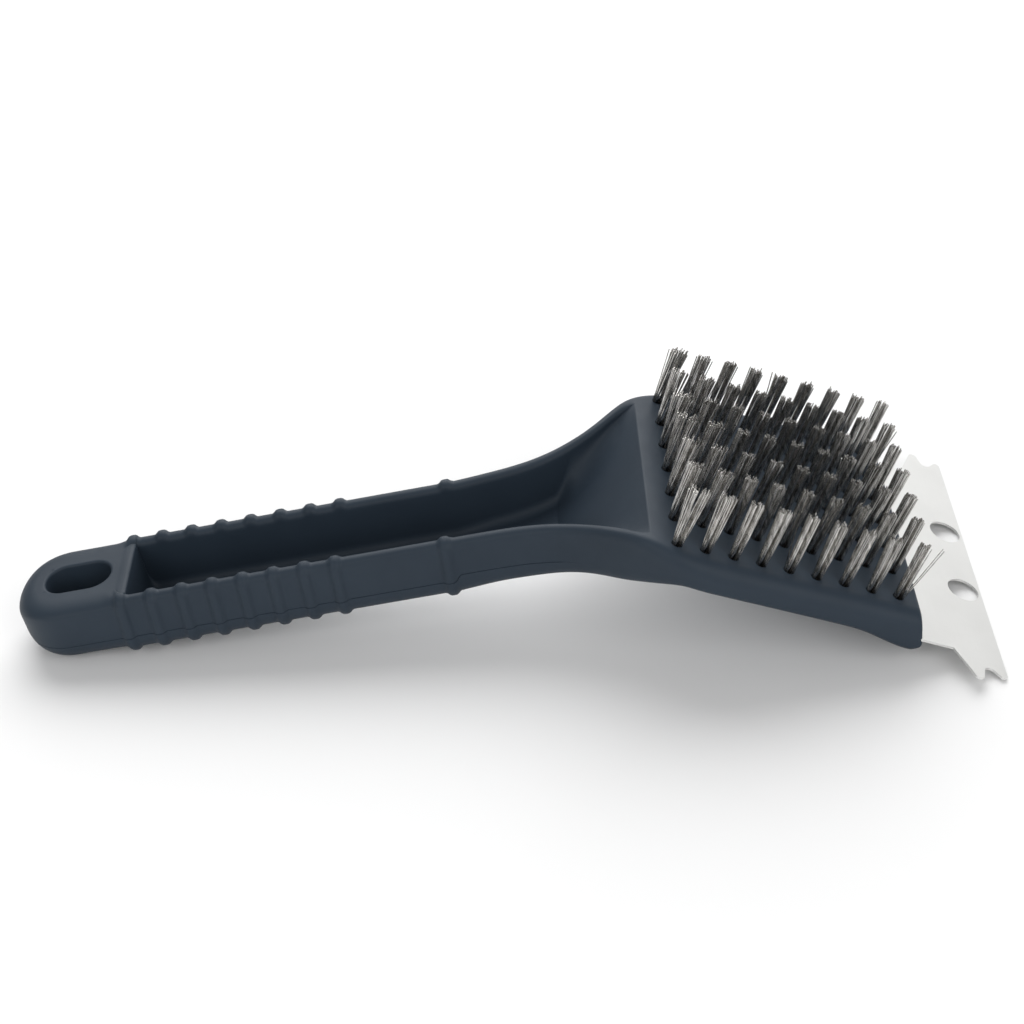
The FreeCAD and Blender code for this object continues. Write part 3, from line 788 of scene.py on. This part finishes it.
def tuft_wires(column, row, x, y):
    """Two legs of straight wires that spread from the hole. The draws' order sets every wire's place."""
    wires = []
    flare = FLARES[column] if column < len(FLARES) else 0.0
    stray_chance = STRAY_CHANCE_FIRST if column == 0 else STRAY_CHANCE
    corner_tuft = column == TUFT_COLUMNS - 1 and row == 0
    tilt_x, tilt_y = rng.normal(0, TUFT_TILT), rng.normal(0, TUFT_TILT)
    for side in (-1, 1):
        for u, v in zip(*leg_spots(WIRES_PER_LEG)):
            foot = np.array([x + side * LEG_OFFSET + LEG_HALF_X * u, y + LEG_HALF_Y * v, 0.0])
            height = TUFT_HEIGHT + rng.normal(0, HEIGHT_JITTER) - HEIGHT_CROWN * (u * u + v * v)
            spread_x = side * LEG_SPREAD + LEG_SPREAD_X * u + rng.normal(0, SPREAD_JITTER_X)
            spread_y = LEG_SPREAD_Y * v + rng.normal(0, SPREAD_JITTER_Y)
            spread_x += flare * (FLARE_LEG * side + FLARE_X * u + rng.normal(0, FLARE_JITTER_X))
            spread_y += flare * (FLARE_Y * v + rng.normal(0, FLARE_JITTER_Y))
            if rng.random() < stray_chance:
                spread_x += rng.normal(0, STRAY_REACH)
                spread_y += rng.normal(0, STRAY_REACH)
            if corner_tuft and side > 0 and u > BENT_FROM:
                spread_x += BENT_OUT
                height += BENT_UP
            lean = np.array([spread_x + tilt_x * height, spread_y + tilt_y * height, height])
            bow = np.array([rng.normal(0, WIRE_BOW), rng.normal(0, WIRE_BOW), 0.0])
            hidden_x = x + (foot[0] - x) * WIRE_HIDDEN_SHARE
            hidden_y = y + (foot[1] - y) * WIRE_HIDDEN_SHARE
            path = [np.array([hidden_x, hidden_y, -WIRE_HIDDEN_DEPTH])]
            path += [foot + lean * t + bow * 4 * t * (1 - t) for t in WIRE_STATIONS]
            wires.append(wire_solid(path, WIRE_RADIUS * rng.uniform(WIRE_THINNEST, WIRE_THICKEST)))
    return wires


def tufts():
    """One piece of separate wires for each column of tufts."""
    columns = {}
    for column, row, x, y in tuft_places():
        columns.setdefault(column, []).extend(tuft_wires(column, row, x, y))
    for column, wires in columns.items():
        name = "tuft_wires_%d" % (column + 1)
        obj = add_object(name, raw_mesh(name, *joined(wires)))
        finish_mesh(obj.data, WIRE, WIRE_SHARP_DEGREES)
        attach(obj, "root")
        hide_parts("tuft_column_%d" % (column + 1))


def steel_from_cad():
    """The blade and the staples keep their CAD shapes and get their materials."""
    finishes = {"scraper_blade": BLADE}
    for column in range(TUFT_COLUMNS):
        finishes["tuft_anchors_%d" % (column + 1)] = WIRE
    for name, finish in finishes.items():
        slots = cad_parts[name].data.materials
        slots.clear()
        slots.append(finish)


# ---- floor, light and camera -----------------------------------------------------------------------
def stage_floor():
    """A plain pale floor just under the brush."""
    r = STAGE_REACH
    mesh = raw_mesh("floor", [(-r, -r, 0), (r, -r, 0), (r, r, 0), (-r, r, 0)], [(0, 1, 2, 3)])
    grey = (STAGE_GREY, STAGE_GREY, STAGE_GREY, 1)
    mesh.materials.append(material("floor_white", Roughness=0.9, Base_Color=grey)[0])
    obj = add_object("floor", mesh)
    obj.location.z = cad_box[0].z - STAGE_GAP


def area_light(name, place, aim, size, power):
    """A round soft light that points from its place at its aim."""
    data = bpy.data.lights.new(name, "AREA")
    data.shape = "DISK"
    data.size = size
    data.energy = power
    lamp = add_object(name, data)
    lamp.location = place
    lamp.rotation_euler = (Vector(aim) - Vector(place)).to_track_quat("-Z", "Y").to_euler()


def studio():
    """A faint white surround and the soft lights."""
    world = bpy.data.worlds.new("studio")
    world.use_nodes = True
    world.node_tree.nodes["Background"].inputs["Color"].default_value = (1, 1, 1, 1)
    world.node_tree.nodes["Background"].inputs["Strength"].default_value = WORLD_STRENGTH
    bpy.context.scene.world = world
    for light in LIGHTS:
        area_light(*light)


def camera():
    """The camera, at the viewing angle of the main view."""
    data = bpy.data.cameras.new("camera")
    data.sensor_width = CAMERA_SENSOR_MM
    data.lens = CAMERA_LENS_MM
    obj = add_object("camera", data)
    obj.location = CAMERA_PLACE
    obj.rotation_euler = Euler(tuple(math.radians(a) for a in CAMERA_TURN), "XYZ")
    bpy.context.scene.camera = obj


moulding()
tufts()
steel_from_cad()
stage_floor()
studio()
camera()
bpy.context.scene.view_settings.view_transform = "Standard"
